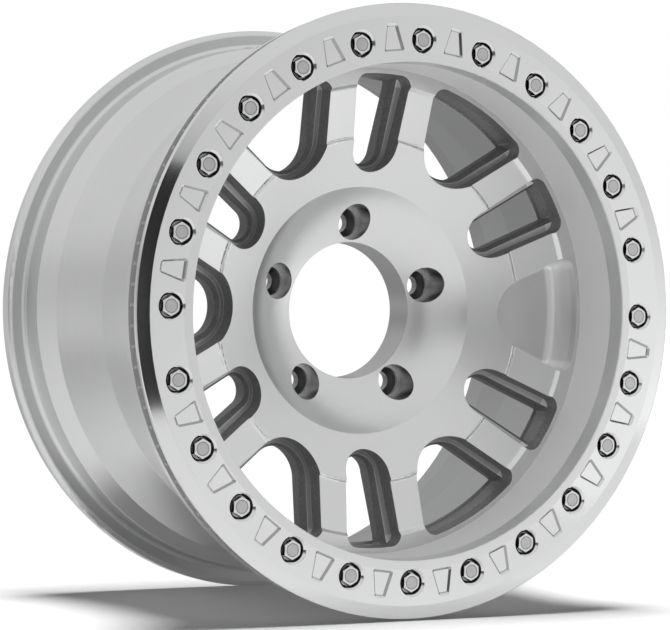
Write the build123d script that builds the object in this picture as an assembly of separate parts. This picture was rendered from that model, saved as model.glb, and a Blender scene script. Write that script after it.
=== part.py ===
from build123d import *
import os
from math import atan2, cos, hypot, radians, sin, sqrt, tan

# Beadlock wheel, 17 by 9 inch class, in millimetres.
# The axle is +Y, the face looks to -Y and +Z is up.
# The origin is on the axle at the hub's mounting face. A point of a turned section is (radius, y).

# Rim barrel
bead_seat_r = 218.3         # 17 inch bead seat
rim_width = 228.6           # 9 inches between the two bead faces
rim_mid_y = -3.0            # the rim's mid-plane, outboard of the mounting face
barrel_bore_drop = 30.3     # bead seat to the bore
barrel_wall = 7.0
flare_length = 60.8         # from the straight well to the rear drop
flare_drop = 10.3           # end of the flare, under the bead seat
flare_round = 14.0
drop_from_bead = 38.5
seat_width = 18.0
seat_taper = 5.0
seat_fillet = 4.0
hump_height = 1.2
hump_width = 4.5
hump_round = 2.2
rear_flange_height = 15.6
rear_flange_thick = 11.2
rear_lip_width = 9.0
rear_lip_round = 4.5
rear_edge_round = 2.2
front_flange_height = 12.7
front_flange_thick = 6.3
front_flange_round = 1.9
land_drop = 2.8             # land that the ring sits on, under the bead seat
land_height = 2.0
boss_taper = 2.0
boss_round = 4.0
boss_floor = 2.5            # metal behind the tapped holes
boss_slope = 10.0
well_fillet = 10.0
valve_hole_d = 11.5
valve_seat_d = 19.0
valve_seat_cut = 0.5        # flat for the valve's base, into the well
valve_from_bead = 30.3

# Beadlock ring
ring_outer_height = 14.2
ring_thick = 16.2
ring_lip_thick = 5.8
ring_spigot_gap = 1.0       # lip root outside the land
bevel_width = 10.2
bevel_drop = 1.7
ring_edge_round = 0.8
lip_root_fillet = 1.6
pocket_inset = 7.6          # from the ring's bore
pocket_length = 21.4
pocket_in_width = 18.1
pocket_out_width = 8.6
pocket_depth = 1.5
pocket_slope_run = 2.2
cut_lift = 0.5              # top of the ring's sloped cuts, above its face
pocket_corner_r = 2.6
pocket_floor_corner_r = 0.8
bare_fields = (0, 12)       # plain stretches at three and nine o'clock

# Ring bolts and washers
bolt_count = 24
bolt_inset = 16.9           # from the ring's bore
bolt_d = 8.0
bolt_length = 30.0
bolt_hex = 13.0
bolt_head_h = 5.3
bolt_head_below = 1.0       # head top under the ring's face
bolt_crown_angle = 30.0
bolt_hex_turn = 0.0         # heads stand with a corner up
counterbore_d = 18.0
counterbore_chamfer = 1.75
bolt_hole_d = 9.0
thread_gap = 0.05
tap_spare = 2.4             # tapped depth past the bolt's end
washer_d = 16.0
washer_hole_d = 8.4
washer_thick = 1.6

# Wheel centre
joint_gap = 0.1             # centre to barrel
hub_bore_r = 54.0
hub_thick = 28.5            # at the bore
hub_face_r = 84.0
lug_count = 5
lug_circle_d = 139.7
lug_pocket_d = 28.0
lug_seat_d = 23.0
lug_hole_d = 15.5
lug_floor_height = 17.0     # pocket's floor above the mounting face
lug_seat_sink = 3.0         # straight bore between that floor and the coned seat
lug_seat_half_angle = 30.0
bowl_r = 97.0
bowl_height = 50.5
bowl_sag = 3.1              # hollow of the bowl under its chord
annulus_r = 133.5
annulus_height = 66.4
step_depth = 1.8
step_run = 2.0
step_fillet = 3.0
step_round = 2.0
step_foot_share = 0.5       # of the step's wall for its foot's fillet
step_flat_share = 0.02
spoke_slope = 13.6          # slope of the spokes' face
band_width = 11.7           # flat edge beside the barrel
band_step = 2.9             # flat edge over the spokes' ends
band_ramp_run = 3.0
band_fillet = 2.6
spoke_rear_r = 112.0
spoke_depth = 32.8
rim_edge_depth = 29.5
rear_flat_width = 10.0
weld_leg = 6.0
weld_crown = 1.0

# Windows between the spokes
window_pairs = 6
window_rim = 5.0            # metal outside the windows
window_corner_r = 8.0
narrow_in_r = 107.5
narrow_half_width = 20.0    # at the gauge radius
narrow_side_angle = 3.7
wide_in_r = 118.1
wide_half_width = 27.5
wide_side_angle = 25.0
gauge_r = 135.0
window_draft = 6.0          # walls in front of the ledge
ledge_depth = 11.5          # under the face
ledge_inset = 5.4           # inner edge of the ledge, from the outline on the face
shelf_lean = 26.6           # sloped wall behind the ledge
shelf_lift = 3.0            # sloped cut's reach in front of the ledge and behind it
shelf_reach = 8.0
rear_draft = 3.0            # walls that open towards the rear
rear_inset = 9.0            # narrowest opening, from the outline
rear_out_gain = 0.3         # but its outer end passes the front one
inner_corner_r = 4.0
blank_field = 0             # the wide field that stays closed, at three o'clock
blank_depth = 14.5
blank_draft = 9.0
blank_floor_fillet = 4.0

# Radii and places along the axle that follow
barrel_bore_r = bead_seat_r - barrel_bore_drop
land_r = bead_seat_r - land_drop
bolt_circle_r = barrel_bore_r + bolt_inset
centre_r = barrel_bore_r - joint_gap
band_r = centre_r - band_width
window_out_r = centre_r - window_rim
front_bead_y = rim_mid_y - rim_width / 2
rear_bead_y = rim_mid_y + rim_width / 2
land_y = front_bead_y - land_height
ring_face_y = land_y - ring_thick
bolt_seat_y = ring_face_y + bolt_head_below + bolt_head_h
counterbore_y = bolt_seat_y + washer_thick
tapped_y = bolt_seat_y + bolt_length + tap_spare
bolt_pitch = 360 / bolt_count
cut_margin = 5.0
body_seam = 42.7            # in the middle of a spoke, between two lug holes


def outline(corners):
    return Polyline(*corners, close=True)


def around(shape, angle):
    """Turn a shape made at three o'clock to a clock angle, anticlockwise seen from the face."""
    return shape.rotate(Axis.Y, -angle)


def turned(section, rounds=(), seam=0.0):
    """Turn a closed section about the axle, with some corners rounded first.

    The turned faces close on themselves at the seam's clock angle, clear of any cut.
    """
    face = make_face(section).face()
    for corner, radius in rounds:
        vertex = face.vertices().sort_by_distance((corner[0], corner[1], 0))[0]
        face = face.fillet_2d(radius, [vertex])
    return around(revolve(face, Axis.Y), seam)


def bolt_places(shape):
    """Copies of a shape made on the axle, moved out to the bolt circle without turning."""
    angles = [radians(bolt_pitch * k) for k in range(bolt_count)]
    spots = [Location((bolt_circle_r * cos(a), 0, bolt_circle_r * sin(a))) for a in angles]
    return [shape.moved(spot) for spot in spots]


def rod(radius, y_start, y_end):
    """A cylinder on the axle."""
    return extrude(Plane((0, y_start, 0), z_dir=(0, 1, 0)) * Circle(radius), y_end - y_start)


def rim_barrel():
    well_r = barrel_bore_r + barrel_wall
    seat_in_r = bead_seat_r - seat_width * tan(radians(seat_taper))
    seat_in_y = rear_bead_y - seat_width
    hump_r = seat_in_r + hump_height
    hump_y = seat_in_y - hump_width
    drop_r = bead_seat_r - flare_drop
    drop_y = rear_bead_y - drop_from_bead
    flare_y = drop_y - flare_length
    rear_flange_r = bead_seat_r + rear_flange_height
    rear_y = rear_bead_y + rear_flange_thick
    front_flange_r = bead_seat_r + front_flange_height
    flange_back_y = front_bead_y + front_flange_thick
    boss_y = tapped_y + boss_floor

    flange_edge = (front_flange_r, flange_back_y)
    flange_root = (land_r, flange_back_y + land_height)
    boss_edge = (land_r - boss_taper, boss_y)
    boss_foot = (well_r, boss_y + boss_slope)
    flare_start = (well_r, flare_y)
    hump = (hump_r, hump_y)
    seat_root = (bead_seat_r, rear_bead_y)
    lip_top = (rear_flange_r, rear_bead_y)
    lip_edge = (rear_flange_r, rear_y)
    section = outline([
        (barrel_bore_r, land_y),
        (land_r, land_y),
        (land_r, front_bead_y),
        (front_flange_r, front_bead_y),
        flange_edge,
        flange_root,
        boss_edge,
        boss_foot,
        flare_start,
        (drop_r, drop_y),
        hump,
        (seat_in_r, seat_in_y),
        seat_root,
        lip_top,
        lip_edge,
        (rear_flange_r - rear_lip_width, rear_y),
        (bead_seat_r - barrel_wall, rear_bead_y),
        (hump_r - barrel_wall, hump_y),
        (drop_r - barrel_wall, drop_y),
        (barrel_bore_r, flare_y),
    ])
    rounds = [
        (flange_edge, front_flange_round),
        (flange_root, boss_round),
        (boss_edge, boss_round),
        (boss_foot, well_fillet),
        (flare_start, flare_round),
        (hump, hump_round),
        (seat_root, seat_fillet),
        (lip_top, rear_lip_round),
        (lip_edge, rear_edge_round),
    ]
    barrel = turned(section, rounds, bolt_pitch / 2)
    tapped = rod(bolt_d / 2 + thread_gap, land_y - cut_margin, tapped_y)
    return barrel - bolt_places(tapped) - valve_hole(well_r)


def valve_hole(well_r):
    """Round hole at nine o'clock with a flat seat on the tyre's side."""
    valve_y = front_bead_y + valve_from_bead
    bore_start = Plane((cut_margin - barrel_bore_r, valve_y, 0), z_dir=(-1, 0, 0))
    seat_start = Plane((valve_seat_cut - well_r, valve_y, 0), z_dir=(-1, 0, 0))
    through = barrel_wall + 2 * cut_margin
    bore = extrude(bore_start * Circle(valve_hole_d / 2), through)
    return bore + extrude(seat_start * Circle(valve_seat_d / 2), through)


def pocket_face(inset, corner_r, y):
    """Trapezoid of a ring pocket at three o'clock, its wide side towards the hub."""
    in_r = barrel_bore_r + pocket_inset + inset
    out_r = barrel_bore_r + pocket_inset + pocket_length - inset
    in_half = pocket_in_width / 2 - inset
    out_half = pocket_out_width / 2 - inset * pocket_out_width / pocket_in_width
    corners = [(in_r, y, -in_half), (out_r, y, -out_half), (out_r, y, out_half), (in_r, y, in_half)]
    face = make_face(outline(corners)).face()
    return face.fillet_2d(corner_r, face.vertices())


def ring_pocket():
    run_per_depth = pocket_slope_run / pocket_depth
    top = pocket_face(-cut_lift * run_per_depth, pocket_corner_r, ring_face_y - cut_lift)
    floor = pocket_face(pocket_slope_run, pocket_floor_corner_r, ring_face_y + pocket_depth)
    return loft([top, floor], ruled=True)


def bolt_seat():
    """Counterbore with a chamfered rim, and the bolt's hole through the ring."""
    bore_r, hole_r = counterbore_d / 2, bolt_hole_d / 2
    top_y = ring_face_y - cut_lift
    rear_y = land_y + cut_margin
    return turned(outline([
        (0, top_y),
        (bore_r + counterbore_chamfer + cut_lift, top_y),
        (bore_r, ring_face_y + counterbore_chamfer),
        (bore_r, counterbore_y),
        (hole_r, counterbore_y),
        (hole_r, rear_y),
        (0, rear_y),
    ]))


def beadlock_ring():
    outer_r = bead_seat_r + ring_outer_height
    lip_y = ring_face_y + ring_lip_thick
    spigot_r = land_r + ring_spigot_gap
    bore_edge = (barrel_bore_r, ring_face_y)
    bevel_edge = (outer_r, ring_face_y + bevel_drop)
    lip_edge = (outer_r, lip_y)
    lip_root = (spigot_r, lip_y)
    section = outline([
        (barrel_bore_r, land_y),
        bore_edge,
        (outer_r - bevel_width, ring_face_y),
        bevel_edge,
        lip_edge,
        lip_root,
        (spigot_r, land_y),
    ])
    rounds = [
        (bore_edge, ring_edge_round),
        (bevel_edge, ring_edge_round),
        (lip_edge, ring_edge_round),
        (lip_root, lip_root_fillet),
    ]
    ring = turned(section, rounds, bolt_pitch / 2)
    pocket = ring_pocket()
    pocket_places = [bolt_pitch * (k + 0.5) for k in range(bolt_count) if k not in bare_fields]
    pockets = [around(pocket, place) for place in pocket_places]
    return ring - bolt_places(bolt_seat()) - pockets


def ring_bolts():
    """Hexagon bolts with a coned crown on the head, all stopped at the same angle."""
    flat_r = bolt_hex / 2
    top_plane = Plane((0, bolt_seat_y - bolt_head_h, 0), z_dir=(0, 1, 0))
    hexagon = RegularPolygon(flat_r, 6, major_radius=False, rotation=bolt_hex_turn)
    head = extrude(top_plane * hexagon, bolt_head_h)
    crown_spread = bolt_head_h / tan(radians(bolt_crown_angle))
    crown_plane = Plane((0, bolt_seat_y, 0), z_dir=(0, -1, 0))
    crown = extrude(crown_plane * Circle(flat_r + crown_spread), bolt_head_h, taper=90 - bolt_crown_angle)
    shank = rod(bolt_d / 2, bolt_seat_y, bolt_seat_y + bolt_length)
    return bolt_places((head & crown) + shank)


def ring_washers():
    disc = rod(washer_d / 2, bolt_seat_y, counterbore_y)
    hole = rod(washer_hole_d / 2, bolt_seat_y - cut_margin, counterbore_y + cut_margin)
    return bolt_places(disc - hole)


def face_y(radius):
    """Depth of the centre's face outside the bowl, without its small steps."""
    if radius < annulus_r:
        slope = (annulus_height - bowl_height) / (annulus_r - bowl_r)
        return -bowl_height - slope * (radius - bowl_r)
    return step_depth - annulus_height - (radius - annulus_r) * tan(radians(spoke_slope))


ramp_r = band_r - band_ramp_run
band_y = face_y(ramp_r) - band_step
rim_edge_rear_y = band_y + rim_edge_depth
spoke_rear_y = face_y(spoke_rear_r) + spoke_depth
window_front_y = band_y - 2 * cut_margin
window_rear_y = spoke_rear_y + 2 * cut_margin
ledge_in_y = face_y(narrow_in_r) + ledge_depth
ledge_out_y = face_y(window_out_r) + ledge_depth
ledge_tilt = (ledge_in_y - ledge_out_y) / (window_out_r - narrow_in_r)


def fitted_round(radius, wall, share, turn):
    """Corner radius that keeps to its share of the wall beside it."""
    return min(radius, share * wall / tan(turn / 2))


def centre_body():
    bowl_edge = (bowl_r, -bowl_height)
    bore_edge = (hub_bore_r, -hub_thick)
    ramp_foot = (ramp_r, face_y(ramp_r))
    step_foot = (annulus_r + step_run, face_y(annulus_r + step_run))
    annulus_edge = (annulus_r, -annulus_height)
    step_height = step_foot[1] - annulus_edge[1]
    step_wall = hypot(step_run, step_height)
    step_angle = atan2(step_height, step_run)
    annulus_angle = atan2(annulus_height - bowl_height, annulus_r - bowl_r)
    foot_turn = step_angle + radians(spoke_slope)
    edge_turn = step_angle + annulus_angle
    bowl = SagittaArc(bowl_edge, bore_edge, -bowl_sag)
    rest = Polyline(
        bore_edge,
        (hub_bore_r, 0),
        (hub_face_r, 0),
        (spoke_rear_r, spoke_rear_y),
        (centre_r - rear_flat_width, rim_edge_rear_y),
        (centre_r, rim_edge_rear_y),
        (centre_r, band_y),
        (band_r, band_y),
        ramp_foot,
        step_foot,
        annulus_edge,
        bowl_edge,
    )
    rounds = [
        (ramp_foot, band_fillet),
        (step_foot, fitted_round(step_fillet, step_wall, step_foot_share, foot_turn)),
        (annulus_edge, fitted_round(step_round, step_wall, 1 - step_foot_share - step_flat_share, edge_turn)),
    ]
    return turned([bowl, rest], rounds, body_seam)


def window_face(in_r, half_width, side_angle, grow, out_grow, y, tilt=0.0):
    """Window outline at three o'clock: a full round towards the hub, flared sides and an arc outside.

    It lies at y at the gauge radius, in a plane that comes forward by the tilt for each millimetre outwards.
    """
    lean = radians(side_angle)
    slope = tan(lean)
    in_end = in_r - grow
    out_r = window_out_r + out_grow
    gauge_half = half_width + grow / cos(lean)
    at_in_end = gauge_half + (in_end - gauge_r) * slope
    round_r = at_in_end * cos(lean) / (1 - sin(lean))
    tangent_x = in_end + round_r * (1 - sin(lean))
    tangent_z = round_r * cos(lean)
    at_axle = gauge_half - gauge_r * slope
    reach = sqrt(out_r ** 2 * (1 + slope ** 2) - at_axle ** 2)
    corner_x = (reach - at_axle * slope) / (1 + slope ** 2)
    corner_z = at_axle + corner_x * slope

    def place(x, z):
        return x, y - (x - gauge_r) * tilt, z

    edges = [
        ThreePointArc(place(tangent_x, tangent_z), place(in_end, 0), place(tangent_x, -tangent_z)),
        Line(place(tangent_x, -tangent_z), place(corner_x, -corner_z)),
        ThreePointArc(place(corner_x, -corner_z), place(out_r, 0), place(corner_x, corner_z)),
        Line(place(corner_x, corner_z), place(tangent_x, tangent_z)),
    ]
    face = make_face(edges).face()
    corners = face.vertices().sort_by(Axis.X)[-2:]
    return face.fillet_2d(max(window_corner_r + grow, inner_corner_r), corners)


def drafted(shape, y_gauge, y_wide, y_narrow, draft, inset=0.0, out_inset=0.0):
    """Solid of a window outline, drawn in by the insets at y_gauge, that narrows from y_wide to y_narrow."""
    spread = abs(y_wide - y_gauge) * tan(radians(draft))
    face = window_face(*shape, spread - inset, spread - out_inset, y_wide)
    if face.normal_at().Y * (y_narrow - y_wide) < 0:
        face = -face
    return extrude(face, abs(y_narrow - y_wide), taper=draft)


def shelf_cut(shape):
    """Sloped opening from the ledge's inner edge down to the narrowest place."""
    ledge_y = ledge_in_y - (gauge_r - narrow_in_r) * ledge_tilt
    growth = tan(radians(shelf_lean))
    sections = []
    for past in (-shelf_lift, shelf_reach):
        inset = ledge_inset + past * growth
        sections.append(window_face(*shape, -inset, cut_margin, ledge_y + past, ledge_tilt))
    return loft(sections, ruled=True)


def window_cuts(shape, front_space):
    """Opening in front of the ledge, with the sloped one under it, and the opening to the rear."""
    opening = drafted(shape, face_y(gauge_r), window_front_y, window_rear_y, window_draft)
    front = (opening & front_space) + (opening & shelf_cut(shape))
    rear_front_y = ledge_out_y - cut_margin
    rear = drafted(shape, ledge_out_y, window_rear_y, rear_front_y, rear_draft, rear_inset, -rear_out_gain)
    return front, rear


def space_before_ledge():
    front_y = window_front_y - cut_margin
    section = outline([
        (bowl_r, front_y),
        (bowl_r, ledge_in_y),
        (narrow_in_r, ledge_in_y),
        (window_out_r, ledge_out_y),
        (barrel_bore_r + cut_margin, ledge_out_y),
        (barrel_bore_r + cut_margin, front_y),
    ])
    return turned(section, seam=180)


def lug_hole():
    """Stepped hole with a coned seat, made on the axle and moved up to twelve o'clock."""
    seat_r, hole_r = lug_seat_d / 2, lug_hole_d / 2
    seat_depth = (seat_r - hole_r) / tan(radians(lug_seat_half_angle))
    seat_y = lug_seat_sink - lug_floor_height
    section = outline([
        (0, -bowl_height),
        (lug_pocket_d / 2, -bowl_height),
        (lug_pocket_d / 2, -lug_floor_height),
        (seat_r, -lug_floor_height),
        (seat_r, seat_y),
        (hole_r, seat_y + seat_depth),
        (hole_r, cut_margin),
        (0, cut_margin),
    ])
    return turned(section).moved(Location((0, 0, lug_circle_d / 2)))


def blank_recess(shape):
    """Closed field: the window's outline sunk to a flat floor."""
    gauge_y = face_y(gauge_r)
    recess = drafted(shape, gauge_y, window_front_y, gauge_y + blank_depth, blank_draft)
    floor = recess.faces().sort_by(Axis.Y)[-1]
    return fillet(floor.edges(), blank_floor_fillet)


def wheel_centre():
    narrow = (narrow_in_r, narrow_half_width, narrow_side_angle)
    wide = (wide_in_r, wide_half_width, wide_side_angle)
    pitch = 360 / window_pairs
    narrow_places = [pitch * (k + 0.5) for k in range(window_pairs)]
    wide_places = [pitch * k for k in range(window_pairs) if k != blank_field]
    front_space = space_before_ledge()
    fronts, rears = [], []
    for shape, places in ((narrow, narrow_places), (wide, wide_places)):
        front, rear = window_cuts(shape, front_space)
        fronts += [around(front, place) for place in places]
        rears += [around(rear, place) for place in places]
    blank = around(blank_recess(wide), pitch * blank_field)
    lug = lug_hole()
    lugs = [around(lug, 360 * k / lug_count) for k in range(lug_count)]
    return centre_body() - fronts - rears - blank - lugs


def centre_weld():
    """Round-topped bead in the corner behind the centre."""
    root_r = barrel_bore_r - joint_gap / 2
    root_y = rim_edge_rear_y + joint_gap / 2
    bulge = weld_leg / 2 + weld_crown / sqrt(2)
    inner, rear = (root_r - weld_leg, root_y), (root_r, root_y + weld_leg)
    crown = ThreePointArc(rear, (root_r - bulge, root_y + bulge), inner)
    legs = Polyline(inner, (root_r, root_y), rear)
    return turned([crown, legs])


os.makedirs("parts", exist_ok=True)
export_step(rim_barrel(), "parts/rim_barrel.step")
export_step(beadlock_ring(), "parts/beadlock_ring.step")
export_step(Compound(ring_bolts()), "parts/ring_bolts.step")
export_step(Compound(ring_washers()), "parts/ring_washers.step")
export_step(wheel_centre(), "parts/wheel_centre.step")
export_step(centre_weld(), "parts/centre_weld.step")
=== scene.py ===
# %% [markdown]
# The wheel as a fixed frame.
# The six pieces of the wheel come from the CAD model, in metres: the axle is Y, the face looks
# to -Y and Z is up. Nothing here moves or reshapes them. This lesson gives each piece its finish,
# adds the small repeated forms that the CAD leaves out, and sets up a studio like the photograph's.

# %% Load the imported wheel
import math

import bpy
from mathutils import Matrix, Vector


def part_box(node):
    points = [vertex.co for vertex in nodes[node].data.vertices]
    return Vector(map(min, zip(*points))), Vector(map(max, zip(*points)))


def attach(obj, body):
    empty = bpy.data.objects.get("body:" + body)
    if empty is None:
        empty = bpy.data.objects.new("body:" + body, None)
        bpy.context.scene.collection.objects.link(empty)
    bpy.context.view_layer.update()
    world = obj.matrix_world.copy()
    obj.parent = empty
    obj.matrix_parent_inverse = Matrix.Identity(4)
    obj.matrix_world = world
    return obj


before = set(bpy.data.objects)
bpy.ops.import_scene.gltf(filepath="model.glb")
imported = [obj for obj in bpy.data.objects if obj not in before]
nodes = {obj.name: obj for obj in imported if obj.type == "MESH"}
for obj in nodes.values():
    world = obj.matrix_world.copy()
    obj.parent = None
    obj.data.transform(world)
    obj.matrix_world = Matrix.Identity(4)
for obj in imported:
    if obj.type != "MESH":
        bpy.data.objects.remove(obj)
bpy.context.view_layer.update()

print("pieces:", ", ".join(sorted(nodes)))

# %% [markdown]
# Sizes that the looks follow.
# The ring, the barrel and the centre are turned about one axle, so a few radii and a few places
# along the axle describe all their edges. Where a size can be measured on the loaded pieces it is,
# which keeps a finish in its place when the CAD model changes. The others are drawing sizes, and
# each stands in the cell that first needs it.

# %% Measure the pieces
MM = 0.001
BOLT_CORNER = 7.506 * MM  # from a bolt's axis to a corner of its head
RING_GAP = 2.0 * MM  # from the ring's rear to the face of the front flange


def reach(node):
    """Largest radius about the axle, front and rear of a piece."""
    low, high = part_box(node)
    return high.z, low.y, high.y


ring_radius, _, ring_rear = reach("beadlock_ring")
barrel_radius = reach("rim_barrel")[0]
centre_front = reach("wheel_centre")[1]
weld_radius, weld_front, weld_rear = reach("centre_weld")
bolt_circle = reach("ring_bolts")[0] - BOLT_CORNER
flange_face = ring_rear + RING_GAP
floor_height = -barrel_radius
print(f"ring {2000 * ring_radius:.1f} mm across, barrel {2000 * barrel_radius:.1f} mm across")
print(f"bolt circle {2000 * bolt_circle:.1f} mm, flange face at {1000 * flange_face:.1f} mm")

# %% [markdown]
# The camera.
# The photograph looks at the face from the left at hub height, a little rolled, with a long lens.
# A camera could be set by eye. This one was fitted to the bolts, the lug holes and the flanges,
# because a small error shows at once on a round thing. The bearing is counted from straight ahead
# of the face, and the aim is a little beside the axle because the wheel sits off the middle of the
# picture.

# %% Set the camera
PICTURE_WIDTH = 670
FOCAL_PIXELS = 2445.7
SENSOR_WIDTH = 36.0
FAR_CLIP = 200.0
bearing = math.radians(-28.96)
roll = math.radians(1.25)
distance = 1.848
aim = Vector((0.0, -0.133, 0.0))
aim_right = -0.0617
aim_up = -0.0027

back = Vector((math.sin(bearing), -math.cos(bearing), 0.0))
level_right = Vector((math.cos(bearing), math.sin(bearing), 0.0))
level_up = Vector((0.0, 0.0, 1.0))
right = math.cos(roll) * level_right + math.sin(roll) * level_up
up = math.cos(roll) * level_up - math.sin(roll) * level_right
eye = aim + distance * back + aim_right * right + aim_up * up

lens = bpy.data.cameras.new("photo_lens")
lens.sensor_width = SENSOR_WIDTH
lens.lens = SENSOR_WIDTH * FOCAL_PIXELS / PICTURE_WIDTH
lens.clip_end = FAR_CLIP
camera = bpy.data.objects.new("photo_camera", lens)
turned_view = Matrix((right, up, back)).transposed().to_4x4()
camera.matrix_world = Matrix.Translation(eye) @ turned_view
bpy.context.scene.collection.objects.link(camera)
bpy.context.scene.camera = camera
bpy.context.scene.view_settings.view_transform = "Standard"
print(f"camera {eye.length:.2f} m from the hub, lens {lens.lens:.1f} mm")

# %% [markdown]
# Writing node graphs as sums.
# A finish is a graph of nodes, and long graphs are hard to read in code. The class Wire holds one
# output socket and turns + - * / into Math nodes, so that a mask can be written as it would be on
# paper.

# %% Wires


class Wire:
    """One output socket of a node, used in sums."""

    def __init__(self, graph, socket):
        self.graph = graph
        self.socket = socket

    def of(self, output):
        """Another output of the same node."""
        return Wire(self.graph, self.socket.node.outputs[output])

    def math(self, operation, *values):
        inputs = dict(enumerate((self, *values)))
        return self.graph.add("ShaderNodeMath", {"operation": operation}, inputs)

    def __add__(self, other):
        return self.math("ADD", other)

    __radd__ = __add__

    def __mul__(self, other):
        return self.math("MULTIPLY", other)

    __rmul__ = __mul__

    def __sub__(self, other):
        return self.math("SUBTRACT", other)

    def __rsub__(self, other):
        return (self * -1.0) + other

    def __truediv__(self, other):
        return self.math("DIVIDE", other)

    def __rtruediv__(self, other):
        return (self ** -1.0) * other

    def __pow__(self, other):
        return self.math("POWER", other)

    def ramp(self, start, end, low, high):
        """A straight change from low at start to high at end."""
        inputs = {"Value": self, "From Min": start, "From Max": end, "To Min": low, "To Max": high}
        return self.graph.add("ShaderNodeMapRange", {}, inputs)

    def step(self, start, end):
        """A smooth rise from 0 at start to 1 at end."""
        settings = {"interpolation_type": "SMOOTHSTEP"}
        inputs = {"Value": self, "From Min": start, "From Max": end}
        return self.graph.add("ShaderNodeMapRange", settings, inputs)

    def within(self, start, end, soft):
        """A mask of 1 between start and end, with soft edges."""
        return self.step(start - soft, start + soft) * (1.0 - self.step(end - soft, end + soft))


print("wires: + - * / **, ramp, step, within")

# %% [markdown]
# Adding nodes.
# Every node needs the same three things: its settings, its inputs and a wire from its output. The
# class Graph owns one node tree and has a single method that does all three, and a few short ones
# for the nodes that come up most. Finishes, the room and the repeated forms all use it.

# %% Graphs


class Graph:
    """A node tree under construction."""

    def __init__(self, tree):
        self.tree = tree
        tree.nodes.clear()

    def add(self, kind, settings=None, inputs=None):
        """Add a node, set its settings, feed its sockets, and return its first output."""
        node = self.tree.nodes.new(kind)
        for name, value in (settings or {}).items():
            if name == "stops":
                self.set_stops(node.color_ramp, value)
            else:
                setattr(node, name, value)
        for name, value in (inputs or {}).items():
            socket = self.find(node.inputs, name)
            if isinstance(value, Wire):
                self.tree.links.new(value.socket, socket)
            else:
                socket.default_value = value
        outputs = [socket for socket in node.outputs if socket.enabled]
        return Wire(self, outputs[0]) if outputs else None

    @staticmethod
    def find(sockets, name):
        """A socket by its place, its identifier or its name."""
        if isinstance(name, int):
            return sockets[name]
        return next((s for s in sockets if s.identifier == name), None) or sockets[name]

    @staticmethod
    def set_stops(ramp, stops):
        while len(ramp.elements) < len(stops):
            ramp.elements.new(1.0)
        for element, (place, level) in zip(ramp.elements, stops):
            element.position = place
            element.color = (level, level, level, 1.0)

    def blend(self, factor, first, second):
        """Mix two colours."""
        inputs = {"Factor_Float": factor, "A_Color": first, "B_Color": second}
        return self.add("ShaderNodeMix", {"data_type": "RGBA"}, inputs)

    def scaled(self, colour, factor):
        """A colour made brighter or darker by a number."""
        inputs = {"Vector": colour, "Scale": factor}
        return self.add("ShaderNodeVectorMath", {"operation": "SCALE"}, inputs)

    def noise(self, vector, scale, detail):
        inputs = {"Vector": vector, "Scale": scale, "Detail": detail}
        return self.add("ShaderNodeTexNoise", {"noise_dimensions": "3D"}, inputs)


def new_material(name):
    material = bpy.data.materials.new(name)
    material.use_nodes = True
    return material, Graph(material.node_tree)


def grey(level, cool=0.0):
    """A grey, with a hint of blue where cool is above 0."""
    return (level - cool, level, level + cool, 1.0)


print("graphs: add, blend, scaled, noise")

# %% [markdown]
# The studio.
# Bare metal has hardly any colour of its own: it shows the room. The photograph's room is white,
# with a panel ahead of the face that is brightest near the floor, a grey gap where the camera
# stands, a dark stretch far to the left, and dimmer walls behind the wheel. The room could be built
# from cards and lamps. A world shader that reads the bearing and the height of a reflected ray does
# the same with one ramp. The camera itself sees plain white.

# %% Room around the wheel
ROOM_CEILING = 0.68
ROOM_REAR_SHARE = 0.95  # of the ceiling's brightness, behind the wheel
ROOM_FILL = 0.05  # for matt surfaces, which the lamp lights
PANEL_FOOT = 1.22
PANEL_HEAD = 0.78
# Heights and depths of a ray, as the parts of its direction along Z and Y.
PANEL_HEIGHTS = (-0.14, 0.16)
CEILING_HEIGHTS = (0.08, 0.36)
REAR_DEPTHS = (0.2, 0.8)
# Bearing in degrees, to the right of straight ahead of the face, and the brightness there.
room_panels = [
    (-180, 0.44), (-165, 0.54), (-150, 0.50), (-118, 0.54), (-80, 0.54), (-68, 0.12),
    (-56, 0.08), (-48, 0.36), (-28, 0.42), (-12, 0.56), (-4, 0.50), (4, 0.30),
    (12, 0.34), (22, 0.60), (32, 0.82), (46, 0.88), (60, 0.82), (78, 0.74),
    (94, 0.50), (122, 0.44), (148, 0.32), (168, 0.36), (180, 0.44),
]

world = bpy.data.worlds.new("studio_room")
world.use_nodes = True
bpy.context.scene.world = world
room = Graph(world.node_tree)
ray = room.add("ShaderNodeTexCoord").of("Generated")
toward = room.add("ShaderNodeSeparateXYZ", {}, {"Vector": ray})
ahead = toward.of("Y") * -1.0
turn = toward.of("X").math("ARCTAN2", ahead) / (2.0 * math.pi) + 0.5
stops = [(degrees / 360 + 0.5, level) for degrees, level in room_panels]
panels = room.add("ShaderNodeValToRGB", {"stops": stops}, {"Fac": turn})
panel_light = toward.of("Z").ramp(*PANEL_HEIGHTS, PANEL_FOOT, PANEL_HEAD)
room_walls = room.scaled(panels, panel_light)
behind = toward.of("Y").step(*REAR_DEPTHS)
ceiling_light = behind.ramp(0.0, 1.0, ROOM_CEILING, ROOM_CEILING * ROOM_REAR_SHARE)
ceiling = room.scaled((1.0, 1.0, 1.0), ceiling_light)
shown = room.blend(toward.of("Z").step(*CEILING_HEIGHTS), room_walls, ceiling)
light_path = room.add("ShaderNodeLightPath")
filled = room.blend(light_path.of("Is Glossy Ray"), grey(ROOM_FILL), shown)
seen = light_path.of("Is Camera Ray").math("MAXIMUM", light_path.of("Is Transmission Ray"))
room_light = room.blend(seen, filled, grey(1.0))
background = room.add("ShaderNodeBackground", {}, {"Color": room_light})
room.add("ShaderNodeOutputWorld", {}, {"Surface": background})
print(f"room with {len(room_panels)} bearings")

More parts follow.
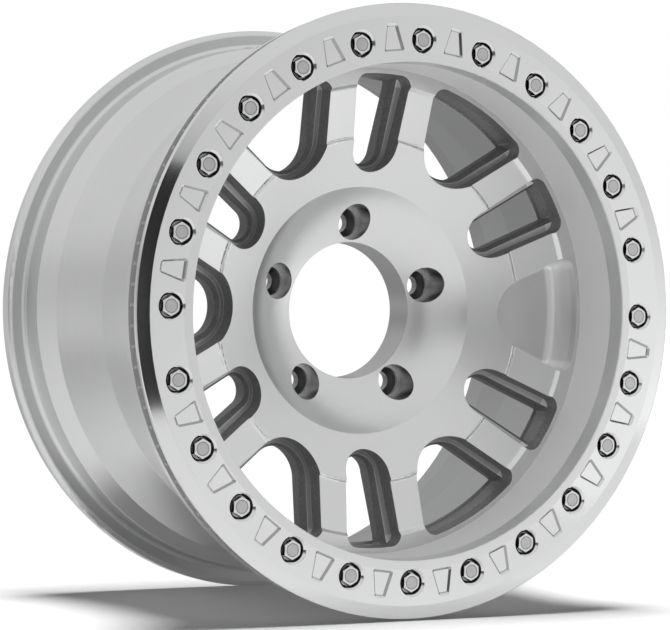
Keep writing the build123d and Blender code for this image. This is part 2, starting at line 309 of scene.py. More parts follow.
# %% [markdown]
# The floor.
# In the photograph the wheel stands on a white sweep with a soft shadow. A curved sweep could be
# modelled, but its far end is out of the picture, so a wide flat sheet at the height of the rear
# flange is enough to take the shadow.

# %% Floor sheet
FLOOR_REACH = 60.0
quarters = ((-1, -1), (1, -1), (1, 1), (-1, 1))
corners = [(x * FLOOR_REACH, y * FLOOR_REACH, floor_height) for x, y in quarters]
sheet = bpy.data.meshes.new("floor")
sheet.from_pydata(corners, [], [(0, 1, 2, 3)])
floor = bpy.data.objects.new("floor", sheet)
bpy.context.scene.collection.objects.link(floor)
print(f"floor at {floor_height * 1000:.1f} mm")

# %% [markdown]
# The floor's two looks.
# A little glow lifts the paper to the white of the room in the camera's view. The metal sees the
# floor in another way: with a glow of its own, dimmer behind the wheel, and ending about a metre
# away, so that the windows and the barrel look into a darker room. A light path tells the two
# kinds of view apart, where a second sheet would need hiding from one of them.

# %% Pale floor
FLOOR_TONE = 0.92
FLOOR_GLOW = 0.04
MIRROR_FRONT = 0.62
MIRROR_REAR = 0.30
MIRROR_GLOW = 0.09
MIRROR_TURN = (0.0, 0.5)  # metres behind the hub where the mirrored floor gets dimmer
MIRROR_END = (1.0, 1.6)  # metres from the hub where it ends
floor_material, pale = new_material("pale_floor")
floor_path = pale.add("ShaderNodeLightPath")
mirrored = floor_path.of("Is Glossy Ray")
floor_point = pale.add("ShaderNodeTexCoord").of("Object")
spot = pale.add("ShaderNodeSeparateXYZ", {}, {"Vector": floor_point})
away = (spot.of("X") * spot.of("X") + spot.of("Y") * spot.of("Y")) ** 0.5
mirror_rear = spot.of("Y").step(*MIRROR_TURN)
mirror_tone = pale.blend(mirror_rear, grey(MIRROR_FRONT), grey(MIRROR_REAR))
tone = pale.blend(mirrored, grey(FLOOR_TONE), mirror_tone)
paper = pale.add("ShaderNodeBsdfDiffuse", {}, {"Color": tone})
glow_level = floor_path.of("Is Camera Ray") * FLOOR_GLOW + mirrored * MIRROR_GLOW
glow = pale.add("ShaderNodeEmission", {}, {"Strength": glow_level})
lit = pale.add("ShaderNodeAddShader", {}, {0: paper, 1: glow})
ended = mirrored * away.step(*MIRROR_END)
clear = pale.add("ShaderNodeBsdfTransparent")
surface = pale.add("ShaderNodeMixShader", {}, {0: ended, 1: lit, 2: clear})
pale.add("ShaderNodeOutputMaterial", {}, {"Surface": surface})
sheet.materials.append(floor_material)
print(f"mirrored floor ends {MIRROR_END[1]:.1f} m away")

# %% [markdown]
# The black card.
# The bevel of the ring is black for a short stretch at the left of the photograph, and bright right
# beside it. Only something dark and near does that, such as a card that stands on the floor to draw
# an edge. It is placed where the bevel mirrors it, and only reflections see it.

# %% Dark card for the bevel
CARD_LEFT = -0.150
CARD_RIGHT = 0.040
CARD_TOP = 0.330
CARD_PLACE = -1.230
CARD_TONE = 0.02
card_foot = [(CARD_LEFT, floor_height), (CARD_RIGHT, floor_height)]
card_head = [(CARD_RIGHT, CARD_TOP), (CARD_LEFT, CARD_TOP)]
card_corners = [(x, CARD_PLACE, z) for x, z in card_foot + card_head]
card_sheet = bpy.data.meshes.new("black_card")
card_sheet.from_pydata(card_corners, [], [(0, 1, 2, 3)])
card = bpy.data.objects.new("black_card", card_sheet)
bpy.context.scene.collection.objects.link(card)
card_material, black = new_material("black_card")
felt = black.add("ShaderNodeEmission", {}, {"Color": grey(CARD_TONE)})
black.add("ShaderNodeOutputMaterial", {}, {"Surface": felt})
card_sheet.materials.append(card_material)
card.visible_camera = False
card.visible_diffuse = False
card.visible_shadow = False
card.visible_transmission = False
card_width = CARD_RIGHT - CARD_LEFT
print(f"card {1000 * card_width:.0f} mm wide, {-1000 * CARD_PLACE:.0f} mm ahead of the hub")

# %% [markdown]
# The lamp.
# The room lights the metal, and one broad soft lamp straight overhead lights the floor, so that the
# wheel casts the short dark shadow that the photograph shows under the rim. A near lamp would leave
# a bright patch, and one far away lights the whole floor evenly. It is kept out of the reflections,
# where it would show as a spot that the photograph lacks.

# %% Overhead lamp
LAMP_STRENGTH = 3.25
LAMP_SPREAD = math.radians(20.0)
lamp = bpy.data.lights.new("overhead_lamp", "SUN")
lamp.energy = LAMP_STRENGTH
lamp.angle = LAMP_SPREAD
overhead_lamp = bpy.data.objects.new("overhead_lamp", lamp)
overhead_lamp.visible_glossy = False
bpy.context.scene.collection.objects.link(overhead_lamp)
print(f"lamp spread {math.degrees(LAMP_SPREAD):.0f} degrees")

# %% [markdown]
# Masks on a turned piece.
# Everything on the wheel is placed by its radius, its place along the axle, its angle about the
# axle and the way it faces. These few functions read those numbers from the Object coordinates, so
# that one material can tell a bore from a face, or a bolt well from the ring around it.

# %% Places on the wheel
FINE_SHARE = 0.6  # of the fine tool rings in all of them
COARSE_RATIO = 0.2  # pitch of the fine rings over that of the coarse ones
MARK_DETAIL = 1.0
INWARD_SOFT = 0.01


class Place:
    """Where a point of a piece is, and which way the surface faces there."""

    def __init__(self, finish):
        coordinates = finish.add("ShaderNodeTexCoord")
        self.finish = finish
        self.point = coordinates.of("Object")
        parts = finish.add("ShaderNodeSeparateXYZ", {}, {"Vector": self.point})
        self.across, self.along, self.height = parts.of("X"), parts.of("Y"), parts.of("Z")
        self.radius = (self.across * self.across + self.height * self.height) ** 0.5
        facing = {"Vector": coordinates.of("Normal")}
        self.normal = finish.add("ShaderNodeSeparateXYZ", {}, facing)
        self.frontward = self.normal.of("Y") * -1.0
        self.level = self.frontward.math("ABSOLUTE")

    def from_axis(self, count, circle):
        """Distance from the nearest of some axes, even on a circle with one of them on top."""
        pitch = 2.0 * math.pi / count
        angle = self.height.math("ARCTAN2", self.across) + (0.5 * pitch - 0.5 * math.pi)
        off = angle.math("FLOORED_MODULO", pitch) - 0.5 * pitch
        chord = self.radius * off.math("COSINE") * (-2.0 * circle)
        return (self.radius * self.radius + chord + circle * circle) ** 0.5

    def inward(self):
        """A mask of the surfaces that look towards the axle."""
        outward = self.across * self.normal.of("X") + self.height * self.normal.of("Z")
        return 1.0 - outward.step(-INWARD_SOFT, INWARD_SOFT)

    def lathe_marks(self, pitch):
        """Fine and coarse tool rings about the axle, around 0.5."""
        path = self.finish.add("ShaderNodeCombineXYZ", {}, {"X": self.radius, "Y": self.along})
        fine = self.finish.noise(path, 1.0 / pitch, MARK_DETAIL)
        coarse = self.finish.noise(path, COARSE_RATIO / pitch, MARK_DETAIL)
        return fine * FINE_SHARE + coarse * (1.0 - FINE_SHARE)


print("places: radius, axle, angle, facing")

# %% [markdown]
# Turned aluminium.
# The barrel, the ring and the face of the centre are cut on a lathe, which leaves fine rings about
# the axle: on a flat face they follow the radius, on a cylinder they follow the axle. One noise
# that reads the radius and the place along the axle, and not the angle, draws both. It drives a
# very slight bump and a slight change of gloss. A Bevel node rounds the shading of each edge by a
# fraction of a millimetre, as a deburred edge is, and that draws the thin lines around every pocket
# and hole.

# %% Bare metal
EDGE_ROUND = 0.55 * MM
EDGE_SAMPLES = 6
COOL = 0.003  # the hint of blue in bare aluminium


def metal_shader(finish, colour, roughness, height, depth):
    """A bare metal surface with softened edges and a bump from the given height."""
    edge = finish.add("ShaderNodeBevel", {"samples": EDGE_SAMPLES}, {"Radius": EDGE_ROUND})
    bumps = {"Height": height, "Distance": depth, "Strength": 1.0, "Normal": edge}
    bump = finish.add("ShaderNodeBump", {}, bumps)
    inputs = {"Base Color": colour, "Metallic": 1.0, "Roughness": roughness, "Normal": bump}
    shader = finish.add("ShaderNodeBsdfPrincipled", {}, inputs)
    finish.add("ShaderNodeOutputMaterial", {}, {"Surface": shader})


print(f"edges rounded by {1000 * EDGE_ROUND:.2f} mm in the shading")

# %% [markdown]
# The ring.
# It is the brightest piece, turned last and almost a mirror. Its bolt wells are deep and narrow,
# and they are painted near black as painted shade. The sloped walls of its pockets are painted a
# tone darker than the face, as painted shade. Its bore has a rougher cut. Each could be a material
# of its own on picked faces. The distance from the nearest bolt, the radius and the facing tell
# them apart, so one material covers the ring.

# %% Ring finish
BOLT_COUNT = 24
BOLT_WELL = 9.0 * MM
BOLT_RIM = 10.9 * MM
WELL_EDGE = (BOLT_WELL + 0.05 * MM, BOLT_WELL + 0.3 * MM)
RIM_EDGE = (BOLT_RIM, BOLT_RIM + 0.3 * MM)
POCKET_IN = 196.5 * MM
POCKET_OUT = 215.5 * MM
POCKET_SOFT = 0.5 * MM
POCKET_FLAT = (0.93, 0.985)  # facing between a pocket's walls and its floor
POCKET_FRONT = (0.0, 0.1)  # facing between the rear and the front of the ring
RING_BORE = 195 * MM
BORE_EDGE = (RING_BORE, RING_BORE + 0.5 * MM)
RING_TONES = (grey(0.87, COOL), grey(0.90, COOL))
# Painted shade: near black in the bolt wells, a darker grey on the pocket walls.
WELL_PAINTED_SHADE = grey(0.12)
POCKET_WALL_PAINTED_SHADE = grey(0.46)
RING_ROUGH = 0.07
RING_MARK_ROUGH = 0.04
WELL_ROUGH = 0.25
RING_BORE_ROUGH = 0.50
RING_PITCH = 0.8 * MM
RING_MARK_DEPTH = 0.003 * MM


def turned_ring():
    """Bright ring, with painted shade in the bolt wells and on the pocket walls, and a rough bore.
    """
    material, finish = new_material("turned_ring")
    place = Place(finish)
    marks = place.lathe_marks(RING_PITCH)
    bright = finish.blend(marks, *RING_TONES)
    from_bolt = place.from_axis(BOLT_COUNT, bolt_circle)
    well = 1.0 - from_bolt.step(*WELL_EDGE)
    between = place.radius.within(POCKET_IN, POCKET_OUT, POCKET_SOFT)
    between = from_bolt.step(*RIM_EDGE) * between
    sloped = 1.0 - place.level.step(*POCKET_FLAT)
    pocket_wall = between * sloped * place.frontward.step(*POCKET_FRONT)
    # Painted shade over the bright ring: the bolt wells, then the walls of the pockets.
    colour = finish.blend(well, bright, WELL_PAINTED_SHADE)
    colour = finish.blend(pocket_wall, colour, POCKET_WALL_PAINTED_SHADE)
    bore = place.inward() * (1.0 - place.radius.step(*BORE_EDGE))
    roughness = marks * RING_MARK_ROUGH + well * WELL_ROUGH + bore * RING_BORE_ROUGH + RING_ROUGH
    metal_shader(finish, colour, roughness, marks, RING_MARK_DEPTH)
    return material


print(f"pockets between radii {1000 * POCKET_IN:.1f} and {1000 * POCKET_OUT:.1f} mm")

# %% [markdown]
# The barrel.
# Its outside is turned and handled, so broad smudges change its gloss. Its mouth ahead of the
# centre has a rough cut that spreads the light of the room, and it is painted a lighter tone as
# painted light. Behind the centre the inside is duller and painted darker, as painted shade. The
# face of the front flange lies in the gap behind the ring's lip, where hardly any light gets. Bare
# metal would still shine there, so that face is painted dark, as painted shade.

# %% Barrel finish
LAND_RADIUS = 216 * MM
GAP_RADIUS = 217 * MM
GAP_SOFT = 0.3 * MM
GAP_FACING = (0.8, 0.9)
CENTRE_DEPTHS = (centre_front + 10 * MM, centre_front + 20 * MM)
BARREL_TONES = (grey(0.78, COOL), grey(0.94, COOL))
INSIDE_PAINTED_SHADE = grey(0.48, COOL)
MOUTH_PAINTED_LIGHT = grey(0.98)
GAP_PAINTED_SHADE = grey(0.14)
SMUDGE_SHARE = 0.6  # of the smudges in the tone, the rest being tool rings
SMUDGE_DETAIL = 3.0
BARREL_SMUDGES = 9.0
BARREL_ROUGH = 0.27
BARREL_MARK_ROUGH = 0.05
BARREL_SMUDGE_ROUGH = 0.06
INSIDE_ROUGH = 0.08
MOUTH_ROUGH = 0.68
BARREL_PITCH = 1.0 * MM
BARREL_MARK_DEPTH = 0.006 * MM


def turned_barrel():
    """Bright barrel with a rough mouth painted lighter, and painted shade inside and in the bead
    gap.
    """
    material, finish = new_material("turned_barrel")
    place = Place(finish)
    marks = place.lathe_marks(BARREL_PITCH)
    smudges = finish.noise(place.point, BARREL_SMUDGES, SMUDGE_DETAIL)
    wear = smudges * SMUDGE_SHARE + marks * (1.0 - SMUDGE_SHARE)
    bright = finish.blend(wear, *BARREL_TONES)
    inward = place.inward()
    past_centre = place.along.step(*CENTRE_DEPTHS)
    inside = inward * past_centre
    mouth = inward * (1.0 - past_centre)
    gap_face = place.along.within(flange_face, flange_face, GAP_SOFT)
    gap_face = gap_face * place.radius.step(LAND_RADIUS, GAP_RADIUS)
    gap_face = gap_face * place.frontward.step(*GAP_FACING)
    # Painted shade inside behind the centre and in the bead gap, painted light in the mouth.
    colour = finish.blend(inside, bright, INSIDE_PAINTED_SHADE)
    colour = finish.blend(mouth, colour, MOUTH_PAINTED_LIGHT)
    colour = finish.blend(gap_face, colour, GAP_PAINTED_SHADE)
    roughness = marks * BARREL_MARK_ROUGH + smudges * BARREL_SMUDGE_ROUGH
    roughness = roughness + inside * INSIDE_ROUGH + mouth * MOUTH_ROUGH + BARREL_ROUGH
    metal_shader(finish, colour, roughness, marks, BARREL_MARK_DEPTH)
    return material


print(f"barrel duller from {1000 * CENTRE_DEPTHS[1]:.1f} mm to the rear")

# %% [markdown]
# The windows.
# They are milled after the face is turned and left rough. The steep walls and everything deeper
# than the middle of the wall are painted dark: partly a darker milled finish, partly painted shade.
# The narrow ledge is painted a grey between that of the walls and that of the face, also painted
# shade. The field at three o'clock is closed: a recess with a flat floor, softer than the face and
# painted a little darker as painted shade. These masks could be painted by hand. Radius, depth and
# facing give them without any painting.

# %% Window masks
WINDOW_IN = 105 * MM
WINDOW_OUT = 186 * MM
WINDOW_SOFT = 0.5 * MM
FIELD_NEAR = 112 * MM
FIELD_GAUGE = 135 * MM
FIELD_HALF = 30 * MM  # half of the field's width at the gauge
FIELD_SPREAD = 0.466  # gain of that half for each length further out
FIELD_NEAR_EDGE = (FIELD_NEAR, FIELD_NEAR + 1 * MM)
FIELD_SIDE_EDGE = (1 * MM, 2 * MM)
DEEP_GAUGE = 110 * MM
DEEP_PLACE = -50.2 * MM  # middle of the walls at that gauge
DEEP_SLOPE = -0.281
DEEP_SOFT = 0.3 * MM
STEEP_FACING = (0.55, 0.70)
LEDGE_FACING = (0.75, 0.90)
REAR_FACING = (-0.4, -0.2)


def window_masks(place):
    """Masks of the windows' walls, which take painted shade, of their ledges and of the field's
    floor.
    """
    belt = place.radius.within(WINDOW_IN, WINDOW_OUT, WINDOW_SOFT)
    half = (place.across - FIELD_GAUGE) * FIELD_SPREAD + FIELD_HALF
    beside = 1.0 - (place.height.math("ABSOLUTE") - half).step(*FIELD_SIDE_EDGE)
    field = place.across.step(*FIELD_NEAR_EDGE) * beside
    middle = (place.radius - DEEP_GAUGE) * DEEP_SLOPE + DEEP_PLACE
    deep = (place.along - middle).step(-DEEP_SOFT, DEEP_SOFT)
    steep = 1.0 - place.level.step(*STEEP_FACING)
    forward = place.frontward.step(*REAR_FACING)
    open_belt = belt * (1.0 - field) * forward
    ledge = deep * place.frontward.step(*LEDGE_FACING) * open_belt
    walls = steep.math("MAXIMUM", deep) * open_belt * (1.0 - ledge)
    return walls, ledge, belt * field * forward * deep


print(f"windows between radii {1000 * WINDOW_IN:.0f} and {1000 * WINDOW_OUT:.0f} mm")

# %% [markdown]
# The steps and the closed field.
# Two steps cross the spokes. They are cut last and finer, so they draw bright lines. The floor of
# the closed field is painted a grey a little darker than the face, as painted shade. At the end
# near the hub, which its own wall shades, it is painted darker still, as painted shade, and where
# it runs out beside the barrel it is painted bright, as painted light. A plain tone looked flat
# there, so it changes along the radius.

# %% Lines and field
BAND_IN = 176 * MM  # where the flat edge beside the barrel begins
STEP_RADIUS = 134.7 * MM
STEP_HALF = 1.4 * MM
RAMP_RADIUS = 174.8 * MM
RAMP_HALF = 1.0 * MM
LINE_SOFT = 0.4 * MM
LINE_FACING = (0.5, 0.6)
FIELD_NEAR_FADE = (FIELD_NEAR, FIELD_GAUGE + 15 * MM)
FIELD_FAR_FADE = (BAND_IN - 4 * MM, BAND_IN)
FIELD_SHADE_TONE = grey(0.72)
FIELD_FAR_LIGHT_TONE = grey(0.98)
FIELD_NEAR_SHADE_TONE = grey(0.50)


def turned_lines(place):
    """A mask of the two steps across the spokes."""
    step = place.radius.within(STEP_RADIUS - STEP_HALF, STEP_RADIUS + STEP_HALF, LINE_SOFT)
    ramp = place.radius.within(RAMP_RADIUS - RAMP_HALF, RAMP_RADIUS + RAMP_HALF, LINE_SOFT)
    return (step + ramp) * place.frontward.step(*LINE_FACING)


def field_colour(finish, place, field, colour):
    """The floor of the closed field, in painted shade and painted light, over another colour."""
    near_end = field * (1.0 - place.radius.step(*FIELD_NEAR_FADE))
    far_end = field * place.radius.step(*FIELD_FAR_FADE)
    # Painted shade over the field, lifted to painted light at its far end beside the barrel.
    colour = finish.blend(field, colour, finish.blend(far_end, FIELD_SHADE_TONE, FIELD_FAR_LIGHT_TONE))
    return finish.blend(near_end, colour, FIELD_NEAR_SHADE_TONE)


print(f"lines at radii {1000 * STEP_RADIUS:.1f} and {1000 * RAMP_RADIUS:.1f} mm")

# %% [markdown]
# The hub's bore and the lug pockets.
# Both are bored into the finished face. Their walls face each other and see little of the room, so
# they are painted dark, as painted shade. The wall of a hole is told from its floor by its facing,
# which needs no material of its own.

# %% Bored holes
HUB_BORE = 56 * MM
HUB_EDGE = (HUB_BORE, HUB_BORE + 1 * MM)
HUB_FACING = (0.2, 0.4)
HUB_PAINTED_SHADE = grey(0.50)
LUG_COUNT = 5
LUG_CIRCLE = 69.85 * MM
LUG_POCKET = 14.0 * MM
LUG_EDGE = (LUG_POCKET + 0.1 * MM, LUG_POCKET + 0.4 * MM)
LUG_FACING = (0.80, 0.95)
LUG_PAINTED_SHADE = grey(0.27)


def bored_colour(finish, place, colour):
    """Painted shade on the walls of the hub's bore and of the lug pockets, over another colour."""
    bore = 1.0 - place.radius.step(*HUB_EDGE)
    # Painted shade on the walls of the hub's bore, then on those of the lug pockets.
    colour = finish.blend(bore * (1.0 - place.level.step(*HUB_FACING)), colour, HUB_PAINTED_SHADE)
    pocket = 1.0 - place.from_axis(LUG_COUNT, LUG_CIRCLE).step(*LUG_EDGE)
    return finish.blend(pocket * (1.0 - place.level.step(*LUG_FACING)), colour, LUG_PAINTED_SHADE)


print(f"{LUG_COUNT} lug pockets on a circle of {2000 * LUG_CIRCLE:.1f} mm")

# %% [markdown]
# The centre.
# Its face is turned like the ring, with a satin gloss. The windows, the flat edge beside the
# barrel, the closed field and the bored holes each have a tone of their own: painted shade in all
# of them, with a darker milled finish in the windows as well and painted light at the far end of
# the field. They are laid over the face one after another, so that each can be changed alone.

# %% Centre finish
BAND_EDGE = (BAND_IN, BAND_IN + 0.8 * MM)
BAND_FACING = (0.80, 0.95)
CENTRE_TONES = (grey(0.85, COOL), grey(0.88, COOL))
MILLED_AND_SHADE_TONES = (grey(0.24), grey(0.46))
LEDGE_PAINTED_SHADE = grey(0.54)
BAND_PAINTED_SHADE = grey(0.80)
MILLED_GRAIN = 500.0
GRAIN_DETAIL = 2.0
CENTRE_SMUDGES = 12.0
CENTRE_ROUGH = 0.24
CENTRE_MARK_ROUGH = 0.05
CENTRE_SMUDGE_ROUGH = 0.05
WALL_ROUGH = 0.36
LEDGE_ROUGH = 0.10
FIELD_ROUGH = 0.10
LINE_GLOSS = 0.12
CENTRE_PITCH = 0.9 * MM
CENTRE_MARK_DEPTH = 0.004 * MM


def turned_centre():
    """Turned face with painted shade in the windows, on the flat edge, in the field and the holes.
    """
    material, finish = new_material("turned_centre")
    place = Place(finish)
    marks = place.lathe_marks(CENTRE_PITCH)
    smudges = finish.noise(place.point, CENTRE_SMUDGES, SMUDGE_DETAIL)
    grain = finish.noise(place.point, MILLED_GRAIN, GRAIN_DETAIL)
    walls, ledge, field = window_masks(place)
    turned = finish.blend(marks, *CENTRE_TONES)
    # The window walls: a darker milled finish with grain, partly painted shade; the ledge a lighter
    # shade.
    colour = finish.blend(walls, turned, finish.blend(grain, *MILLED_AND_SHADE_TONES))
    colour = finish.blend(ledge, colour, LEDGE_PAINTED_SHADE)
    # Painted shade on the flat edge beside the barrel, next to the barrel's wall.
    band = place.radius.step(*BAND_EDGE) * place.frontward.step(*BAND_FACING)
    colour = finish.blend(band, colour, BAND_PAINTED_SHADE)
    colour = field_colour(finish, place, field, colour)
    colour = bored_colour(finish, place, colour)
    lines = turned_lines(place) * (1.0 - ledge) * (1.0 - field)
    roughness = marks * CENTRE_MARK_ROUGH + smudges * CENTRE_SMUDGE_ROUGH + CENTRE_ROUGH
    roughness = roughness + walls * WALL_ROUGH + ledge * LEDGE_ROUGH + field * FIELD_ROUGH
    metal_shader(finish, colour, roughness - lines * LINE_GLOSS, marks, CENTRE_MARK_DEPTH)
    return material


print(f"flat edge from radius {1000 * BAND_IN:.0f} mm outward")

# %% [markdown]
# The weld.
# It is left as it was laid, a duller metal with a fine grain. A picture of a weld could be wrapped
# round it. A small noise is enough, because the ripples further down give the weld its form.

# %% Weld finish
WELD_TONES = (grey(0.55), grey(0.70))
WELD_GRAIN = 500.0
WELD_DETAIL = 3.0
WELD_ROUGH = 0.25
WELD_GRAIN_ROUGH = 0.2
WELD_GRAIN_DEPTH = 0.02 * MM


def weld_metal():
    material, finish = new_material("weld_metal")
    grain = finish.noise(Place(finish).point, WELD_GRAIN, WELD_DETAIL)
    colour = finish.blend(grain, *WELD_TONES)
    metal_shader(finish, colour, grain * WELD_GRAIN_ROUGH + WELD_ROUGH, grain, WELD_GRAIN_DEPTH)
    return material


print(f"weld of {1000 * (weld_rear - weld_front):.1f} mm leg")

# %% [markdown]
# Bolts and washers.
# They are zinc plated. The flat of a head is a soft grey inside a dark ring, its turned edge and
# crown carry painted highlights, and the six sides are painted dark as painted shade from their
# wells. The washers are painted lighter, as painted light, because so little light reaches them.
# The rings on the heads follow the distance from the nearest bolt's axis, so all 24 bolts share one
# material.

# %% Bolt and washer finishes
HEAD_FLAT = 4.5 * MM
HEAD_LINE = (HEAD_FLAT, HEAD_FLAT + 0.5 * MM)
HEAD_LINE_SOFT = 0.15 * MM
HEAD_EDGE = (HEAD_FLAT + 0.5 * MM, HEAD_FLAT + 0.9 * MM)
CROWN_FACING = (0.62, 0.96)
CROWN_SOFT = 0.02
SIDE_FACING = (0.45, 0.60)
HEAD_TONES = (grey(0.52), grey(0.66))
HEAD_LINE_TONE = grey(0.22)
HEAD_EDGE_HIGHLIGHT = grey(0.86)
CROWN_HIGHLIGHT = grey(0.90)
SIDE_PAINTED_SHADE = grey(0.09)
WASHER_GRAIN_AND_LIGHT_TONES = (grey(0.80), grey(0.92))
BOLT_ROUGH = 0.22
WASHER_ROUGH = 0.30
ZINC_GRAIN = 900.0
ZINC_CLOUD = 120.0
ZINC_GRAIN_ROUGH = 0.10
ZINC_GRAIN_DEPTH = 0.008 * MM


def plated_bolt():
    material, finish = new_material("bolt_zinc")
    place = Place(finish)
    grain = finish.noise(place.point, ZINC_GRAIN, GRAIN_DETAIL)
    cloud = finish.noise(place.point, ZINC_CLOUD, GRAIN_DETAIL)
    from_bolt = place.from_axis(BOLT_COUNT, bolt_circle)
    line = from_bolt.within(*HEAD_LINE, HEAD_LINE_SOFT)
    flat = finish.blend(line, finish.blend(cloud, *HEAD_TONES), HEAD_LINE_TONE)
    # Painted highlights on the turned edge and the crown, painted shade on the six sides.
    flat = finish.blend(from_bolt.step(*HEAD_EDGE), flat, HEAD_EDGE_HIGHLIGHT)
    crown = place.level.within(*CROWN_FACING, CROWN_SOFT)
    side = 1.0 - place.level.step(*SIDE_FACING)
    colour = finish.blend(side, finish.blend(crown, flat, CROWN_HIGHLIGHT), SIDE_PAINTED_SHADE)
    metal_shader(finish, colour, grain * ZINC_GRAIN_ROUGH + BOLT_ROUGH, grain, ZINC_GRAIN_DEPTH)
    return material


def plated_washer():
    material, finish = new_material("washer_zinc")
    grain = finish.noise(Place(finish).point, ZINC_GRAIN, GRAIN_DETAIL)
    # Painted light: the washers get a lighter tone than the light that reaches them would give.
    colour = finish.blend(grain, *WASHER_GRAIN_AND_LIGHT_TONES)
    metal_shader(finish, colour, grain * ZINC_GRAIN_ROUGH + WASHER_ROUGH, grain, ZINC_GRAIN_DEPTH)
    return material


print(f"bolt heads with a flat of {2000 * HEAD_FLAT:.0f} mm")

# %% [markdown]
# Dressing the pieces.
# Each CAD piece takes one finish, in place of the plain colour that it was loaded with. The meshes
# themselves stay as they are.

# %% Give each piece its finish
finishes = {
    "beadlock_ring": turned_ring(),
    "rim_barrel": turned_barrel(),
    "wheel_centre": turned_centre(),
    "centre_weld": weld_metal(),
    "ring_bolts": plated_bolt(),
    "ring_washers": plated_washer(),
}
for name, material in finishes.items():
    mesh = nodes[name].data
    mesh.materials.clear()
    mesh.materials.append(material)
print("finishes:", ", ".join(sorted(m.name for m in finishes.values())))

# %% [markdown]
# Repeated forms about the axle.
# Two small forms go round the wheel many times: the grip ribs that hold the tyre's bead on the
# front flange, and the ripples of the weld. Each could be modelled once and copied by hand.
# Geometry Nodes place one small block or bead at every step of a circle from a few named sizes, so
# that the count and the sizes stay easy to change.

# %% Circle of copies


def start_tree(name, sizes):
    """A geometry tree with one named input for each size."""
    tree = bpy.data.node_groups.new(name, "GeometryNodeTree")
    graph = Graph(tree)
    for label, value in sizes.items():
        kind = "NodeSocketInt" if isinstance(value, int) else "NodeSocketFloat"
        tree.interface.new_socket(label, in_out="INPUT", socket_type=kind)
    tree.interface.new_socket("Geometry", in_out="OUTPUT", socket_type="NodeSocketGeometry")
    return tree, graph, graph.add("NodeGroupInput")


def circle_of(graph, sizes_in, form, lean, scale):
    """Copies of a form at even steps about the axle, each leaned about its own outward line."""
    step = graph.add("GeometryNodeInputIndex") * (2.0 * math.pi) / sizes_in.of("Count")
    outward = step.math("COSINE") * sizes_in.of("Radius")
    upward = step.math("SINE") * sizes_in.of("Radius")
    seat_inputs = {"X": outward, "Y": sizes_in.of("Place"), "Z": upward}
    seats = graph.add("ShaderNodeCombineXYZ", {}, seat_inputs)
    point_inputs = {"Count": sizes_in.of("Count"), "Position": seats}
    points = graph.add("GeometryNodePoints", {}, point_inputs)
    turned = graph.add("ShaderNodeCombineXYZ", {}, {"Y": step * -1.0, "Z": lean})
    rotation = graph.add("FunctionNodeEulerToRotation", {}, {"Euler": turned})
    inputs = {"Points": points, "Instance": form, "Rotation": rotation, "Scale": scale}
    return graph.add("GeometryNodeInstanceOnPoints", {}, inputs)


def end_tree(graph, copies, material):
    whole = graph.add("GeometryNodeRealizeInstances", {}, {"Geometry": copies})
    painted_inputs = {"Geometry": whole, "Material": material}
    painted = graph.add("GeometryNodeSetMaterial", {}, painted_inputs)
    graph.add("NodeGroupOutput", {}, {"Geometry": painted})


def grow(name, tree, sizes):
    """A plain mesh object from a geometry tree and its sizes."""
    piece = bpy.data.objects.new(name, bpy.data.meshes.new(name))
    bpy.context.scene.collection.objects.link(piece)
    modifier = piece.modifiers.new("grow", "NODES")
    modifier.node_group = tree
    for item in tree.interface.items_tree:
        if item.in_out == "INPUT":
            modifier[item.identifier] = sizes[item.name]
    evaluated = piece.evaluated_get(bpy.context.evaluated_depsgraph_get())
    grown = bpy.data.meshes.new_from_object(evaluated)
    piece.modifiers.clear()
    piece.data = grown
    grown.name = name
    print(f"{name}: {len(grown.polygons)} faces")
    return piece


print("circle helpers: start_tree, circle_of, end_tree, grow")

# %% [markdown]
# Grip ribs.
# The front flange carries short radial ribs that bite into the bead when the ring is tightened.
# They show as fine teeth in the gap behind the lip of the ring. Each is a flat block that stands a
# little out of the flange's face.

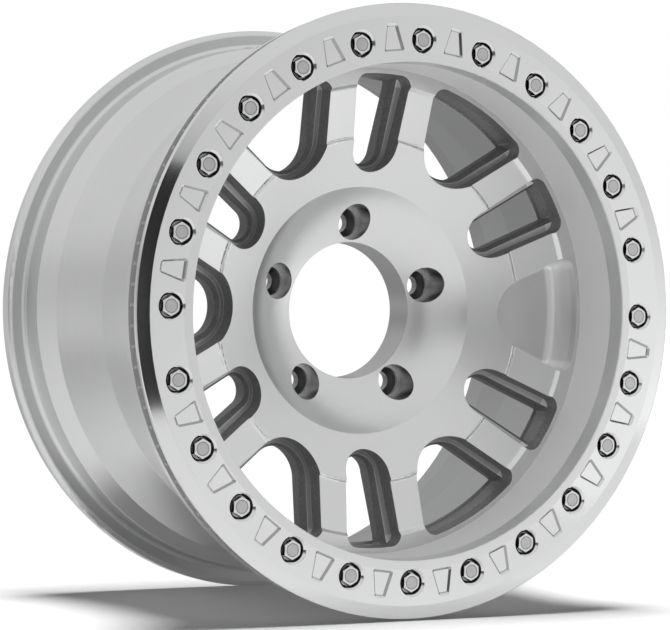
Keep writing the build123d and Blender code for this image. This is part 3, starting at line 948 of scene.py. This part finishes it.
# %% Ribs on the front flange
rib_sizes = {
    "Count": 96,
    "Radius": 224.4 * MM,
    "Place": flange_face,
    "Length": 10.0 * MM,
    "Width": 2.4 * MM,
    "Height": 1.2 * MM,
}
rib_tree, ribs, rib_in = start_tree("grip_ribs", rib_sizes)
block_inputs = {"X": rib_in.of("Length"), "Y": rib_in.of("Height"), "Z": rib_in.of("Width")}
block_size = ribs.add("ShaderNodeCombineXYZ", {}, block_inputs)
block = ribs.add("GeometryNodeMeshCube", {}, {"Size": block_size})
rib_copies = circle_of(ribs, rib_in, block, 0.0, (1.0, 1.0, 1.0))
end_tree(ribs, rib_copies, finishes["rim_barrel"])
grip_ribs = grow("grip_ribs", rib_tree, rib_sizes)
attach(grip_ribs, "root")

# %% [markdown]
# Weld ripples.
# A weld laid by hand is a row of overlapping drops. Each ripple is a flattened ball that leans
# across the corner between the centre and the barrel, and its size changes a little from one to the
# next with a fixed seed.

# %% Ripples of the weld
RIPPLE_SEED = 7
RIPPLE_LEAN = math.radians(45.0)
RIPPLE_SINK = 0.42  # of the weld's leg, from its corner to the ripples' middle
RIPPLE_LEAST = 0.92
RIPPLE_MOST = 1.04
weld_leg = weld_rear - weld_front
ripple_sizes = {
    "Count": 260,
    "Radius": weld_radius - RIPPLE_SINK * weld_leg,
    "Place": weld_front + RIPPLE_SINK * weld_leg,
    "Width": 0.52 * weld_leg,
    "Rise": 0.38 * weld_leg,
    "Pitch": 0.50 * weld_leg,
    "Seed": RIPPLE_SEED,
}
ripple_tree, ripples, ripple_in = start_tree("weld_ripples", ripple_sizes)
ball_inputs = {"Segments": 8, "Rings": 6, "Radius": 1.0}
ball = ripples.add("GeometryNodeMeshUVSphere", {}, ball_inputs)
change_inputs = {"Min_001": RIPPLE_LEAST, "Max_001": RIPPLE_MOST, "Seed": ripple_in.of("Seed")}
change = ripples.add("FunctionNodeRandomValue", {"data_type": "FLOAT"}, change_inputs)
drop_rise = ripple_in.of("Rise") * change
drop_inputs = {"X": drop_rise, "Y": ripple_in.of("Width"), "Z": ripple_in.of("Pitch")}
drop_size = ripples.add("ShaderNodeCombineXYZ", {}, drop_inputs)
ripple_copies = circle_of(ripples, ripple_in, ball, -RIPPLE_LEAN, drop_size)
end_tree(ripples, ripple_copies, finishes["centre_weld"])
weld_ripples = grow("weld_ripples", ripple_tree, ripple_sizes)
weld_ripples.data.shade_smooth()
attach(weld_ripples, "root")
